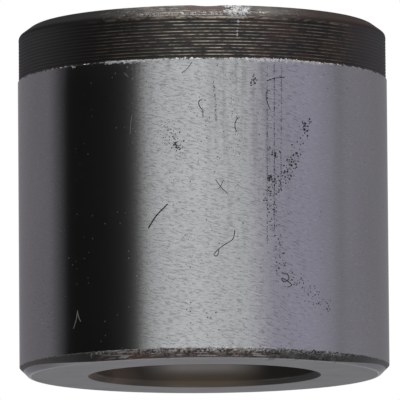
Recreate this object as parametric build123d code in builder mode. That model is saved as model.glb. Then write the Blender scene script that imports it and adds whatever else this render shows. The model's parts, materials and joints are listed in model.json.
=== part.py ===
from build123d import *
import os

# Spacer sleeve, in millimetres: one steel ring, turned all over and then ground on the outside.
# Frame: +Z along the bore, origin at the centre of the plain end that the sleeve stands on.
# From the foot up: foot chamfer, ground land, grinding run-out, turned band, crown chamfer.

# Driving sizes
ground_diameter = 20.0
bore_diameter = 12.0
ground_length = 16.0  # from the foot to the border of the turned band
band_length = 3.0  # from that border to the crown, with the crown's chamfer
band_relief = 0.05  # how far the band's crests lie inside the ground land, on the radius

foot_chamfer = 0.5
crown_chamfer_run = 0.75  # across the crown's face
crown_chamfer_drop = 0.55  # down the band
crown_shoulder_radius = 0.3  # softens the corner between the band and the crown's chamfer
crown_edge_radius = 0.7  # rolls the crown's chamfer into its face
bore_lead_in = 0.3

# Feed marks of the turning tool, left on the band
feed_pitch = 0.178
feed_depth = 0.03
feed_clearance = 0.1  # plain strip between the last mark and the crown's chamfer

# Bruise that a knock has left on the crown's outer edge
bruise_width = 2.6
bruise_depth = 0.13
bruise_azimuth = 2.0  # degrees round from the front, which is -Y, towards +X
bruise_lean = 20.0  # the facet faces this many degrees out from +Z

# Nicks in the outer edge of the foot's face: (degrees round from the front, radius)
foot_nicks = [(22.5, 0.19), (31.5, 0.11)]

# Sizes that follow
length = ground_length + band_length
ground_radius = ground_diameter / 2
bore_radius = bore_diameter / 2
band_radius = ground_radius - band_relief
foot_face_radius = ground_radius - foot_chamfer
crown_face_radius = band_radius - crown_chamfer_run
bore_mouth_radius = bore_radius + bore_lead_in

band_wall_top = length - crown_chamfer_drop
feed_start = ground_length + band_relief
feed_room = band_wall_top - feed_clearance - feed_start
feed_count = int(feed_room / feed_pitch)

# A round tool of this radius sinks bruise_depth over a chord of bruise_width.
bruise_tool_radius = (bruise_width**2 / 4 + bruise_depth**2) / (2 * bruise_depth)

corner_reach = feed_clearance / 4  # how near a corner must be to the place that it is found by
overrun = 1.0  # how far a cutting tool passes the surface that it cuts


def front_turned(azimuth):
    """The row's frame, turned about the bore so that its -Y meets the given azimuth."""
    return Plane.XY.rotated((0, 0, azimuth))


def corner_at(sketch, radius, height):
    """The sketch's corners that lie at a radius and a height."""
    at_radius = sketch.vertices().filter_by_position(Axis.X, radius - corner_reach, radius + corner_reach)
    return at_radius.filter_by_position(Axis.Y, height - corner_reach, height + corner_reach)


with BuildPart() as sleeve:
    # Half section of the whole sleeve, turned about the bore's axis
    with BuildSketch(Plane.XZ) as section:
        with BuildLine() as outline:
            foot = Polyline(
                (bore_mouth_radius, 0),
                (foot_face_radius, 0),
                (ground_radius, foot_chamfer),
                (ground_radius, ground_length),
                (band_radius, feed_start),
            )
            # One V for each turn of the feed, crest to crest up the band
            crest = foot @ 1
            for _ in range(feed_count):
                root = crest + Vector(-feed_depth, feed_pitch / 2)
                next_crest = crest + Vector(0, feed_pitch)
                Polyline(crest, root, next_crest)
                crest = next_crest
            Polyline(
                crest,
                (band_radius, band_wall_top),
                (crown_face_radius, length),
                (bore_mouth_radius, length),
                (bore_radius, length - bore_lead_in),
                (bore_radius, bore_lead_in),
                (bore_mouth_radius, 0),
            )
        make_face()
        fillet(corner_at(section, band_radius, band_wall_top), radius=crown_shoulder_radius)
        fillet(corner_at(section, crown_face_radius, length), radius=crown_edge_radius)
    revolve(axis=Axis.Z)

    # The bruise: a shallow hollow across the crown's outer edge
    bruise_frame = front_turned(bruise_azimuth)
    bruise_edge = bruise_frame.from_local_coords(Vector(0, -crown_face_radius, length))
    facet_normal = Vector(0, 0, 1).rotate(Axis.X, bruise_lean).rotate(Axis.Z, bruise_azimuth)
    facet_run = Vector(0, -1, 0).rotate(Axis.X, bruise_lean).rotate(Axis.Z, bruise_azimuth)
    tool_centre = bruise_edge + facet_normal * (bruise_tool_radius - bruise_depth)
    with BuildSketch(Plane(origin=tool_centre, z_dir=facet_run)):
        Circle(bruise_tool_radius)
    extrude(amount=crown_chamfer_run + overrun, both=True, mode=Mode.SUBTRACT)

    # The nicks: small round hollows where the foot's face meets its chamfer
    for azimuth, nick_radius in foot_nicks:
        nick_centre = front_turned(azimuth).from_local_coords(Vector(0, -foot_face_radius, 0))
        with Locations(nick_centre):
            Sphere(nick_radius, mode=Mode.SUBTRACT)

sleeve.part.label = "sleeve"

os.makedirs("parts", exist_ok=True)
export_step(sleeve.part, "parts/sleeve.step")
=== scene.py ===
import json
import logging
import math
from dataclasses import dataclass, field
from enum import Enum
from typing import Any, Sequence, Union

import bmesh
import bpy
from mathutils import Matrix, Vector


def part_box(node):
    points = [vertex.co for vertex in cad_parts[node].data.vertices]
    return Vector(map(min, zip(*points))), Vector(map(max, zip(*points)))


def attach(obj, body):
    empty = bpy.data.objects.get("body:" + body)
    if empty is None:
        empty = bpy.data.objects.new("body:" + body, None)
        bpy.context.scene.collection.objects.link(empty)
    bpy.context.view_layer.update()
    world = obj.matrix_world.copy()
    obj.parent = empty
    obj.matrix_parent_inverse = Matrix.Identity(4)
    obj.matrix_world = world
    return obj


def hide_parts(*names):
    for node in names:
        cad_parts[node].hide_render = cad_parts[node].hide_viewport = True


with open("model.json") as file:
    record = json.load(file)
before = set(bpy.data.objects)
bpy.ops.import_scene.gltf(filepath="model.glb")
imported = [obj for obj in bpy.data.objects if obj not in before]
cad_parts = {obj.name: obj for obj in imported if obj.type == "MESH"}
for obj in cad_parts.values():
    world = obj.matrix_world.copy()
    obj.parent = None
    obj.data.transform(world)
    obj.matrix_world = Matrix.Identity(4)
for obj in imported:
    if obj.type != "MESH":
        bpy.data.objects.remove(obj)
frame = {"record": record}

LOG = logging.getLogger("spacer_sleeve")
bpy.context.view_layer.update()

MM = 0.001  # the frame is in metres, and the sizes below are in millimetres
PER_METRE = 1000.0
BODY = "root"
NODE = "sleeve"
WRAP_RADIUS = 10.0  # millimetres; wrapped patterns keep their own width at this radius

Socket = bpy.types.NodeSocket
Input = Union[float, int, Sequence[float], Socket]
Colour = tuple[float, float, float, float]


def grey(value: float, warmth: float = 0.0) -> Colour:
    """A neutral colour, or a slightly warm or cold one.

    Args:
        value: Linear brightness, from 0 to 1.
        warmth: How far red rises over blue, as a share of the brightness.

    Returns:
        The colour with full alpha.
    """
    return (value * (1.0 + warmth), value, value * (1.0 - warmth), 1.0)


# ---------------------------------------------------------------------------
# Sizes
# ---------------------------------------------------------------------------


@dataclass(frozen=True)
class SleeveSizes:
    """Sizes of the sleeve in millimetres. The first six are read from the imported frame."""

    length: float
    ground_radius: float
    bore_radius: float
    ground_length: float
    foot_chamfer: float
    bore_lead_in: float
    foot_edge_radius: float = 0.3  # worn, a little rounder than the solid
    band_relief: float = 0.05
    crown_run: float = 0.75
    crown_drop: float = 0.55
    crown_shoulder_radius: float = 0.3
    crown_edge_radius: float = 0.7
    feed_pitch: float = 0.178
    feed_depth: float = 0.03
    feed_clearance: float = 0.1

    @classmethod
    def from_frame(cls) -> "SleeveSizes":
        """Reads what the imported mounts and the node's box say.

        Returns:
            The sizes, with the band's own details at their defaults.
        """
        mounts = {mount["name"]: mount for mount in frame["record"]["mounts"]}
        bore, land = mounts["bore"]["dims"], mounts["ground_outside"]
        low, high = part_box(NODE)
        length = (high.z - low.z) * PER_METRE
        land_middle = land["pos_m"][2] * PER_METRE
        land_half = land["dims"]["length_mm"] / 2
        return cls(
            length=length,
            ground_radius=land["dims"]["r_mm"],
            bore_radius=bore["r_mm"],
            ground_length=land_middle + land_half,
            foot_chamfer=land_middle - land_half,
            bore_lead_in=(length - bore["length_mm"]) / 2,
        )

    @property
    def band_radius(self) -> float:
        """Radius of the band's crests."""
        return self.ground_radius - self.band_relief

    @property
    def foot_face_radius(self) -> float:
        """Outer radius of the foot's flat face."""
        return self.ground_radius - self.foot_chamfer

    @property
    def crown_face_radius(self) -> float:
        """Outer radius of the crown's flat face, before its edge is softened."""
        return self.band_radius - self.crown_run

    @property
    def bore_mouth_radius(self) -> float:
        """Radius where the bore's lead-in meets an end face."""
        return self.bore_radius + self.bore_lead_in

    @property
    def band_wall_top(self) -> float:
        """Height at which the crown's chamfer starts."""
        return self.length - self.crown_drop

    @property
    def shoulder_start(self) -> float:
        """Height at which the band starts to turn in towards the crown."""
        turn = math.atan2(self.crown_run, self.crown_drop)
        return self.band_wall_top - self.crown_shoulder_radius * math.tan(turn / 2)

    @property
    def feed_start(self) -> float:
        """Height of the first feed mark's lower crest."""
        return self.ground_length + self.band_relief

    @property
    def feed_count(self) -> int:
        """How many feed marks the band holds."""
        room = self.band_wall_top - self.feed_clearance - self.feed_start
        return int(room / self.feed_pitch)


# ---------------------------------------------------------------------------
# Node trees
# ---------------------------------------------------------------------------


class Wiring:
    """Short calls for the nodes that shader trees and geometry trees share."""

    def __init__(self, tree: bpy.types.NodeTree) -> None:
        """Empties the tree.

        Args:
            tree: The tree to fill.
        """
        self.tree = tree
        tree.nodes.clear()

    def node(self, kind: str, **settings: Any) -> bpy.types.Node:
        """Adds a node.

        Args:
            kind: The node's type name.
            settings: Properties of the node.

        Returns:
            The new node.
        """
        made = self.tree.nodes.new(kind)
        for name, value in settings.items():
            setattr(made, name, value)
        return made

    def feed(self, target: Socket, value: Input) -> None:
        """Links a socket, or sets its value.

        Args:
            target: The input socket.
            value: An output socket, or a plain value.
        """
        if isinstance(value, bpy.types.NodeSocket):
            self.tree.links.new(value, target)
        else:
            target.default_value = value

    def math(self, operation: str, first: Input, second: Input = 0.0, clamp: bool = False) -> Socket:
        """One arithmetic step.

        Args:
            operation: The Math node's operation.
            first: First value.
            second: Second value, where the operation has one.
            clamp: Whether the result stays from 0 to 1.

        Returns:
            The result's socket.
        """
        made = self.node("ShaderNodeMath", operation=operation, use_clamp=clamp)
        self.feed(made.inputs[0], first)
        self.feed(made.inputs[1], second)
        return made.outputs[0]

    def vector(self, operation: str, first: Input, second: Input = (0.0, 0.0, 0.0)) -> Socket:
        """One vector step.

        Args:
            operation: The Vector Math node's operation.
            first: First vector.
            second: Second vector.

        Returns:
            The result's socket, a length where the operation gives one.
        """
        made = self.node("ShaderNodeVectorMath", operation=operation)
        self.feed(made.inputs[0], first)
        self.feed(made.inputs[1], second)
        return made.outputs["Value" if operation in ("LENGTH", "DOT_PRODUCT") else "Vector"]

    def join(self, x: Input, y: Input, z: Input) -> Socket:
        """A vector from its three parts."""
        made = self.node("ShaderNodeCombineXYZ")
        for target, value in zip(made.inputs, (x, y, z)):
            self.feed(target, value)
        return made.outputs[0]

    def split(self, vector: Socket) -> tuple[Socket, Socket, Socket]:
        """The three parts of a vector."""
        made = self.node("ShaderNodeSeparateXYZ")
        self.feed(made.inputs[0], vector)
        return made.outputs[0], made.outputs[1], made.outputs[2]

    def rise(self, value: Input, low: float, high: float) -> Socket:
        """A smooth step.

        Args:
            value: What is compared.
            low: Where the step gives 0.
            high: Where it gives 1. It may be under low, and the step then falls.

        Returns:
            The step's socket.
        """
        made = self.node("ShaderNodeMapRange", interpolation_type="SMOOTHSTEP")
        if low < high:
            ends = (low, high, 0.0, 1.0)
        else:
            ends = (high, low, 1.0, 0.0)
        self.feed(made.inputs["Value"], value)
        for name, end in zip(("From Min", "From Max", "To Min", "To Max"), ends):
            made.inputs[name].default_value = end
        return made.outputs[0]

    def window(self, value: Input, low: float, high: float, soft: float) -> Socket:
        """1 between two limits, with soft borders.

        Args:
            value: What is compared.
            low: Lower limit.
            high: Upper limit.
            soft: Half the width of each border.

        Returns:
            The window's socket.
        """
        opening = self.rise(value, low - soft, low + soft)
        return self.math("MULTIPLY", opening, self.rise(value, high + soft, high - soft))

    def shifted(self, value: Input, factor: Input, offset: Input) -> Socket:
        """The value times a factor, plus an offset."""
        made = self.node("ShaderNodeMath", operation="MULTIPLY_ADD")
        for target, part in zip(made.inputs, (value, factor, offset)):
            self.feed(target, part)
        return made.outputs[0]

    def product(self, *factors: Input) -> Socket:
        """Several numbers multiplied."""
        result = factors[0]
        for factor in factors[1:]:
            result = self.math("MULTIPLY", result, factor)
        return result

    def largest(self, *values: Input) -> Socket:
        """The largest of several numbers."""
        result = values[0]
        for value in values[1:]:
            result = self.math("MAXIMUM", result, value)
        return result

    def inverse(self, value: Input) -> Socket:
        """1 minus the value, kept from 0 to 1."""
        return self.math("SUBTRACT", 1.0, value, clamp=True)

    def noise(self, vector: Input, scale: float = 1.0, detail: float = 2.0, rough: float = 0.5) -> Socket:
        """Smooth noise from 0 to 1.

        Args:
            vector: Where it is looked up.
            scale: Waves for each unit of the vector.
            detail: Octaves.
            rough: Strength of the finer octaves.

        Returns:
            The noise's socket.
        """
        made = self.node("ShaderNodeTexNoise", noise_dimensions="3D")
        self.feed(made.inputs["Vector"], vector)
        made.inputs["Scale"].default_value = scale
        made.inputs["Detail"].default_value = detail
        made.inputs["Roughness"].default_value = rough
        return made.outputs[0]


@dataclass(frozen=True)
class Here:
    """Where a point of the surface lies, in millimetres in the row frame."""

    place: Socket
    x: Socket
    y: Socket
    height: Socket
    radius: Socket
    azimuth: Socket  # degrees round from the front, which is -Y, towards +X


class Shading(Wiring):
    """A material's node tree."""

    def here(self) -> Here:
        """Object coordinates, in millimetres and in polar form.

        Returns:
            The sockets of the surface's place.
        """
        coordinates = self.node("ShaderNodeTexCoord")
        place = self.vector("MULTIPLY", coordinates.outputs["Object"], (PER_METRE,) * 3)
        x, y, z = self.split(place)
        radius = self.math("SQRT", self.math("ADD", self.math("POWER", x, 2.0), self.math("POWER", y, 2.0)))
        turn = self.math("ARCTAN2", x, self.math("MULTIPLY", y, -1.0))
        return Here(place, x, y, z, radius, self.math("MULTIPLY", turn, math.degrees(1.0)))

    def stretched(self, here: Here, around: float, along: float, seed: float = 0.0) -> Socket:
        """Coordinates whose noise runs round the bore's axis or along it.

        Args:
            here: The surface's place.
            around: Waves for each millimetre across X and Y.
            along: Waves for each millimetre of height.
            seed: Shifts the pattern.

        Returns:
            The vector's socket.
        """
        scaled = self.vector("MULTIPLY", here.place, (around, around, along))
        return self.vector("ADD", scaled, (seed, seed * 0.37, seed * 0.71))

    def wrapped(self, here: Here, around: float, along: float, seed: float = 0.0) -> Socket:
        """Coordinates wrapped round the outside, so that the pattern keeps its width on a chamfer.

        Args:
            here: The surface's place.
            around: Waves for each millimetre round the outside.
            along: Waves for each millimetre of height.
            seed: Shifts the pattern.

        Returns:
            The vector's socket.
        """
        ratio = self.math("DIVIDE", WRAP_RADIUS * around, here.radius)
        x, y = self.math("MULTIPLY", here.x, ratio), self.math("MULTIPLY", here.y, ratio)
        spot = self.join(x, y, self.math("MULTIPLY", here.height, along))
        return self.vector("ADD", spot, (seed, seed * 0.37, seed * 0.71))

    def blend(self, factor: Input, low: Input, high: Input) -> Socket:
        """Mixes two numbers.

        Args:
            factor: 0 gives low and 1 gives high.
            low: First number.
            high: Second number.

        Returns:
            The mix's socket.
        """
        made = self.node("ShaderNodeMix", data_type="FLOAT")
        self.feed(made.inputs[0], factor)
        self.feed(made.inputs[2], low)
        self.feed(made.inputs[3], high)
        return made.outputs[0]

    def tint(self, factor: Input, low: Input, high: Input) -> Socket:
        """Mixes two colours.

        Args:
            factor: 0 gives low and 1 gives high.
            low: First colour.
            high: Second colour.

        Returns:
            The mix's socket.
        """
        made = self.node("ShaderNodeMix", data_type="RGBA")
        self.feed(made.inputs[0], factor)
        self.feed(made.inputs[6], low)
        self.feed(made.inputs[7], high)
        return made.outputs[2]

    def dots(self, vector: Input, scale: float, share: float, size: float) -> Socket:
        """Scattered round dots.

        Args:
            vector: Where they are looked up.
            scale: Cells for each unit of the vector.
            share: Share of the cells that hold a dot.
            size: Radius of the largest dot, as a share of a cell.

        Returns:
            1 inside a dot and 0 outside.
        """
        cells = self.node("ShaderNodeTexVoronoi", feature="F1", voronoi_dimensions="3D")
        self.feed(cells.inputs["Vector"], vector)
        cells.inputs["Scale"].default_value = scale
        pick, spread, _ = self.split(cells.outputs["Color"])
        chosen = self.math("LESS_THAN", pick, share)
        reach = self.math("MULTIPLY", self.shifted(spread, 0.6, 0.4), size)
        inside = self.rise(self.math("DIVIDE", cells.outputs["Distance"], reach), 1.0, 0.55)
        return self.math("MULTIPLY", inside, chosen)

    def bump(self, height: Input, depth: float, base: Union[Socket, None] = None) -> Socket:
        """Turns a height into a normal.

        Args:
            height: Height, from 0 to 1.
            depth: What a height of 1 stands for, in millimetres.
            base: Normal to start from.

        Returns:
            The normal's socket.
        """
        made = self.node("ShaderNodeBump")
        made.inputs["Strength"].default_value = 1.0
        made.inputs["Distance"].default_value = depth * MM
        self.feed(made.inputs["Height"], height)
        if base is not None:
            self.feed(made.inputs["Normal"], base)
        return made.outputs[0]

    def round_tangent(self) -> Socket:
        """The direction round the bore's axis, which the tool marks follow."""
        return self.node("ShaderNodeTangent", direction_type="RADIAL", axis="Z").outputs[0]


def new_material(name: str, fallback: Colour) -> tuple[bpy.types.Material, Shading]:
    """Makes an empty node material.

    Args:
        name: The material's name.
        fallback: Colour for solid views.

    Returns:
        The material and its wiring.
    """
    material = bpy.data.materials.new(name)
    material.use_nodes = True
    material.diffuse_color = fallback
    return material, Shading(material.node_tree)


def finish_surface(wiring: Shading, **inputs: Input) -> None:
    """Adds the shader and the output.

    Args:
        wiring: The material's wiring.
        inputs: The shader's inputs, with underscores for the spaces in their names.
    """
    shader = wiring.node("ShaderNodeBsdfPrincipled")
    for name, value in inputs.items():
        wiring.feed(shader.inputs[name.replace("_", " ")], value)
    output = wiring.node("ShaderNodeOutputMaterial")
    wiring.feed(output.inputs["Surface"], shader.outputs[0])


# ---------------------------------------------------------------------------
# Finishes
# ---------------------------------------------------------------------------


@dataclass(frozen=True)
class OutsideFinish:
    """The sleeve's outside: ground land, dark turned band, and the two worn chamfers."""

    sizes: SleeveSizes
    ground: Colour = grey(0.60, -0.01)
    ground_roughness: float = 0.20
    grain_direction: float = 0.75  # anisotropy of the grinding
    oxide: Colour = (0.0075, 0.0062, 0.0052, 1.0)
    oxide_brown: Colour = (0.034, 0.0185, 0.0125, 1.0)
    oxide_roughness: float = 0.34
    # bare metal of scratches and crests; on the band's crests it also stands for a painted glint
    worn: Colour = (0.64, 0.55, 0.44, 1.0)
    raw: Colour = (0.90, 0.89, 0.88, 1.0)
    rust: Colour = (0.085, 0.042, 0.028, 1.0)
    dirt: Colour = (0.040, 0.038, 0.036, 1.0)

    def build(self) -> bpy.types.Material:
        """Wires the material.

        Returns:
            The finished material.
        """
        material, w = new_material("outside_steel", self.ground)
        here = w.here()
        fray = w.math("SUBTRACT", w.noise(w.wrapped(here, 5.5, 5.5, 3.1), detail=3.0, rough=0.7), 0.5)
        land, land_marks = self.land(w, here)
        band, rub_and_glint = self.band(w, here)
        crown, bare, crumple = self.crown(w, here, fray)
        foot, flecks = self.foot(w, here, fray)

        above = w.math("SUBTRACT", here.height, w.shifted(fray, 0.5, self.sizes.ground_length))
        oxide = w.rise(above, 0.0, 0.02)
        ragged_line = w.product(w.rise(above, -0.12, -0.04), w.rise(above, 0.03, 0.0))
        lip = w.product(ragged_line, self.lip_strength(w, here, fray))
        foot_area = self.foot_area(w, here, fray)

        colour = w.tint(oxide, land, band)
        # The band's bare crests: wear, and a painted glint near the front.
        colour = w.tint(rub_and_glint, colour, self.worn)
        colour = w.tint(self.crown_area(w, here), colour, crown)
        colour = w.tint(bare, colour, self.worn)
        colour = w.tint(crumple, colour, grey(0.80))
        colour = w.tint(foot_area, colour, foot)
        colour = w.tint(flecks, colour, self.raw)
        colour = w.tint(lip, colour, self.raw)

        scaled = w.largest(oxide, foot_area)
        shown = w.largest(rub_and_glint, bare, crumple, flecks, lip)
        metal = w.largest(w.math("MULTIPLY", w.inverse(scaled), w.inverse(land_marks["pits"])), shown)

        rough = w.blend(land_marks["dark"], self.ground_roughness, self.ground_roughness + 0.08)
        away = w.inverse(w.window(here.azimuth, -24.0, 30.0, 14.0))
        rough = w.blend(scaled, rough, w.blend(away, self.oxide_roughness, self.oxide_roughness + 0.36))
        rough = w.blend(w.largest(lip, crumple, bare), rough, 0.40)
        rough = w.blend(land_marks["pits"], rough, 0.6)

        flat = w.inverse(scaled)
        torn = w.noise(w.wrapped(here, 7.0, 7.0, 12.4), detail=4.0, rough=0.75)
        scale_grain = w.noise(w.wrapped(here, 9.0, 9.0, 2.2), detail=3.0, rough=0.7)
        normal = w.bump(w.math("MULTIPLY", land_marks["lines"], flat), 0.0030)
        normal = w.bump(w.math("MULTIPLY", land_marks["grain"], flat), 0.0010, normal)
        normal = w.bump(w.math("MULTIPLY", land_marks["pits"], -1.0), 0.003, normal)
        normal = w.bump(w.math("MULTIPLY", scale_grain, scaled), 0.008, normal)
        normal = w.bump(w.math("MULTIPLY", torn, w.largest(bare, lip, flecks)), 0.03, normal)
        normal = w.bump(w.math("MULTIPLY", torn, crumple), 0.09, normal)

        finish_surface(
            w,
            Base_Color=colour,
            Metallic=metal,
            Roughness=rough,
            Anisotropic=self.grain_direction,
            Anisotropic_Rotation=0.25,
            Tangent=w.round_tangent(),
            Normal=normal,
        )
        return material

    def land(self, w: Shading, here: Here) -> tuple[Socket, dict[str, Socket]]:
        """The ground land: dashes of the grinding, smears and fine pits.

        Args:
            w: The material's wiring.
            here: The surface's place.

        Returns:
            The colour, and the masks that relief and roughness use.
        """
        lines = w.noise(w.wrapped(here, 0.8, 17.0, 1.7), detail=3.0, rough=0.62)
        dashes = w.noise(w.wrapped(here, 3.2, 15.0, 8.3), detail=3.0, rough=0.68)
        slope = w.math("MULTIPLY", here.azimuth, 0.05)
        climb = w.math("MULTIPLY", w.math("ADD", here.height, slope), 11.0)
        leaning = w.join(w.math("MULTIPLY", here.azimuth, 0.42), climb, 3.0)
        slants = w.noise(leaning, detail=2.0, rough=0.6)
        slants = w.product(w.rise(slants, 0.46, 0.36), w.window(here.azimuth, -22.0, 34.0, 8.0))
        mottle = w.noise(w.wrapped(here, 0.35, 0.12, 5.9), detail=2.0)
        grain = w.noise(w.wrapped(here, 12.0, 12.0, 2.3), detail=2.0, rough=0.6)
        smear = w.noise(w.wrapped(here, 2.2, 0.16, 9.9), detail=3.0, rough=0.6)
        smear_area = w.product(w.window(here.azimuth, 2.0, 30.0, 6.0), w.rise(here.height, 3.0, 13.0))
        smear = w.product(w.rise(smear, 0.48, 0.70), smear_area)
        pits = w.dots(w.wrapped(here, 1.0, 1.0, 4.0), scale=4.6, share=0.30, size=0.23)
        pits = w.product(pits, w.rise(w.noise(w.wrapped(here, 0.5, 0.4, 2.7), detail=2.0), 0.38, 0.56))
        pits = w.math("MULTIPLY", pits, w.blend(w.rise(here.azimuth, -27.0, -20.0), 0.25, 1.0))
        front = w.blend(w.window(here.azimuth, -24.0, 18.0, 16.0), 0.22, 1.0)
        dark, light = w.math("MULTIPLY", w.rise(dashes, 0.46, 0.36), front), w.rise(dashes, 0.56, 0.72)

        colour = w.tint(w.rise(mottle, 0.35, 0.65), grey(0.58, -0.01), grey(0.61, -0.01))
        colour = w.tint(w.math("MULTIPLY", smear, 0.6), colour, grey(0.36))
        colour = w.tint(w.math("MULTIPLY", w.largest(dark, slants), 0.72), colour, grey(0.31, -0.01))
        colour = w.tint(w.math("MULTIPLY", light, 0.55), colour, grey(0.84, -0.01))
        colour = w.tint(w.math("MULTIPLY", pits, 0.9), colour, self.dirt)
        return colour, {"lines": lines, "grain": grain, "pits": pits, "dark": dark}

    def band(self, w: Shading, here: Here) -> tuple[Socket, Socket]:
        """The turned band: black scale, browner to the right, paler towards its sides as a painted sheen, its
        crests bare near the front as wear and a painted glint.

        Args:
            w: The material's wiring.
            here: The surface's place.

        Returns:
            The scale's colour, and the mask of the bare crests, which is wear and a painted glint.
        """
        s = self.sizes
        patches = w.noise(w.wrapped(here, 0.5, 0.9, 6.6), detail=3.0, rough=0.6)
        browner = w.math("MULTIPLY", w.rise(patches, 0.40, 0.62), w.rise(here.azimuth, -38.0, 22.0))
        colour = w.tint(browner, self.oxide, self.oxide_brown)
        # Painted sheen: the scale turns a paler, slightly violet grey towards both sides of the sleeve.
        edge = w.inverse(w.window(here.azimuth, -50.0, 54.0, 16.0))
        colour = w.tint(w.math("MULTIPLY", edge, 0.8), colour, (0.060, 0.057, 0.060, 1.0))
        golden = w.product(w.window(here.azimuth, -1.0, 9.0, 3.0), w.rise(patches, 0.40, 0.60), 0.6)
        colour = w.tint(golden, colour, (0.060, 0.040, 0.018, 1.0))

        crest = w.rise(here.radius, s.band_radius - 0.006, s.band_radius - 0.001)
        breaks = w.noise(w.wrapped(here, 1.3, 5.0, 9.2), detail=5.0, rough=0.8)
        # Painted glint on top of the wear: the bare crests are kept to the front, and thinner beside it,
        # where the light's reflection falls.
        beside = w.math("MULTIPLY", w.window(here.azimuth, -30.0, 50.0, 12.0), 0.35)
        glint_front = w.largest(w.window(here.azimuth, -14.0, 22.0, 10.0), beside)
        in_band = w.window(here.height, s.ground_length + 0.06, s.shoulder_start, 0.02)
        return colour, w.product(crest, w.rise(breaks, 0.38, 0.64), glint_front, in_band)

    def crown_area(self, w: Shading, here: Here) -> Socket:
        """Mask of the crown's chamfer with its rolled edges."""
        return w.rise(w.math("SUBTRACT", here.height, self.sizes.shoulder_start), -0.02, 0.03)

    def crown(self, w: Shading, here: Here, fray: Socket) -> tuple[Socket, Socket, Socket]:
        """The crown's chamfer: thin scale, scratched bright, bruised brown and torn silvery.

        Args:
            w: The material's wiring.
            here: The surface's place.
            fray: Noise from -0.5 to 0.5.

        Returns:
            The colour, the mask of bare scratches, and the mask of the torn metal.
        """
        s = self.sizes
        area = self.crown_area(w, here)
        height = w.math("SUBTRACT", here.height, s.shoulder_start)
        cloud = w.noise(w.wrapped(here, 1.2, 3.0, 21.0), detail=3.0, rough=0.6)
        colour = w.tint(w.rise(cloud, 0.35, 0.62), (0.030, 0.027, 0.024, 1.0), (0.125, 0.108, 0.092, 1.0))
        # Painted shade: towards the left the chamfer is made as dark as the band's scale.
        colour = w.tint(w.rise(here.azimuth, -14.0, -34.0), colour, self.oxide)
        colour = w.tint(w.rise(here.azimuth, 20.0, 36.0), colour, self.oxide_brown)
        bruised = w.rise(w.shifted(fray, 0.8, height), 0.10, 0.26)
        bruised = w.product(w.window(here.azimuth, -6.0, 7.5, 1.0), bruised)
        colour = w.tint(bruised, colour, self.rust)

        turned = w.noise(w.wrapped(here, 0.9, 15.0, 12.4), detail=4.0, rough=0.7)
        chips = w.noise(w.wrapped(here, 6.0, 9.0, 17.0), detail=4.0, rough=0.75)
        reach = w.window(here.azimuth, -26.0, 30.0, 12.0)
        bare = w.product(w.largest(w.rise(turned, 0.55, 0.66), w.rise(chips, 0.58, 0.68)), reach)
        edge_line = w.product(w.window(height, 0.03, 0.07, 0.02), w.window(here.azimuth, -17.0, 8.0, 3.0))
        edge_line = w.product(edge_line, w.rise(chips, 0.38, 0.5))
        bare = w.product(w.largest(bare, edge_line), area)

        torn_edge = w.shifted(fray, 9.0, here.azimuth)
        torn = w.rise(w.shifted(fray, 1.4, height), 0.02, 0.12)
        torn = w.product(w.window(torn_edge, 7.0, 15.5, 0.8), torn)
        strands = w.noise(w.wrapped(here, 8.0, 1.6, 31.0), detail=3.0, rough=0.65)
        tendrils = w.product(w.window(here.azimuth, 7.6, 13.0, 0.6), w.window(height, -0.17, 0.1, 0.05))
        tendrils = w.product(tendrils, w.rise(strands, 0.52, 0.58))
        gaps = w.rise(w.noise(w.wrapped(here, 4.2, 5.5, 41.0), detail=4.0, rough=0.75), 0.41, 0.50)
        return colour, bare, w.product(w.largest(torn, tendrils), gaps)

    def foot_area(self, w: Shading, here: Here, fray: Socket) -> Socket:
        """Mask of the scale on the foot's chamfer, which has worn off its lower half at the sides."""
        s = self.sizes
        upper = w.rise(w.shifted(fray, -0.25, here.height), s.foot_chamfer + 0.03, s.foot_chamfer - 0.03)
        side = w.rise(w.math("ABSOLUTE", w.math("SUBTRACT", here.azimuth, 4.0)), 36.0, 78.0)
        lower = w.math("SUBTRACT", here.height, w.math("MULTIPLY", side, s.foot_chamfer * 0.52))
        return w.product(upper, w.rise(lower, 0.015, 0.05), w.blend(side, 1.0, 0.72))

    def foot(self, w: Shading, here: Here, fray: Socket) -> tuple[Socket, Socket]:
        """The foot's chamfer: dark scale with rust in front, and bright flecks along its top.

        Args:
            w: The material's wiring.
            here: The surface's place.
            fray: Noise from -0.5 to 0.5.

        Returns:
            The colour, and the mask of the flecks.
        """
        cloud = w.noise(w.wrapped(here, 1.6, 3.5, 15.8), detail=4.0, rough=0.7)
        drag = w.noise(w.wrapped(here, 1.0, 13.0, 25.0), detail=3.0, rough=0.7)
        front = w.window(here.azimuth, -32.0, 22.0, 9.0)
        brown = w.product(w.rise(cloud, 0.40, 0.56), front)
        colour = w.tint(brown, (0.022, 0.020, 0.018, 1.0), self.rust)
        right = w.window(here.azimuth, 20.0, 52.0, 8.0)
        # Wear: the foot's chamfer is worn paler on the right.
        rubbed_and_reflection = w.product(right, w.rise(cloud, 0.42, 0.58), 0.8)
        colour = w.tint(rubbed_and_reflection, colour, (0.10, 0.095, 0.085, 1.0))
        orange = w.product(w.window(here.azimuth, -25.0, -17.5, 1.5), w.rise(drag, 0.5, 0.6))
        colour = w.tint(orange, colour, (0.26, 0.13, 0.055, 1.0))

        fleck = w.noise(w.wrapped(here, 6.5, 8.0, 35.8), detail=4.0, rough=0.75)
        high = w.rise(w.shifted(fray, 0.3, here.height), 0.22, 0.42)
        sides = w.largest(front, w.math("MULTIPLY", right, 0.4))
        flecks = w.product(w.rise(fleck, 0.49, 0.57), w.blend(high, 0.20, 1.0), sides)
        streaks = w.product(w.rise(drag, 0.54, 0.62), front, 0.55)
        flecks = w.math("MULTIPLY", flecks, w.blend(w.rise(here.azimuth, -18.0, -2.0), 0.45, 1.0))
        on_chamfer = w.window(here.height, 0.05, self.sizes.foot_chamfer + 0.02, 0.02)
        return colour, w.product(w.largest(flecks, streaks), on_chamfer)

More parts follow.
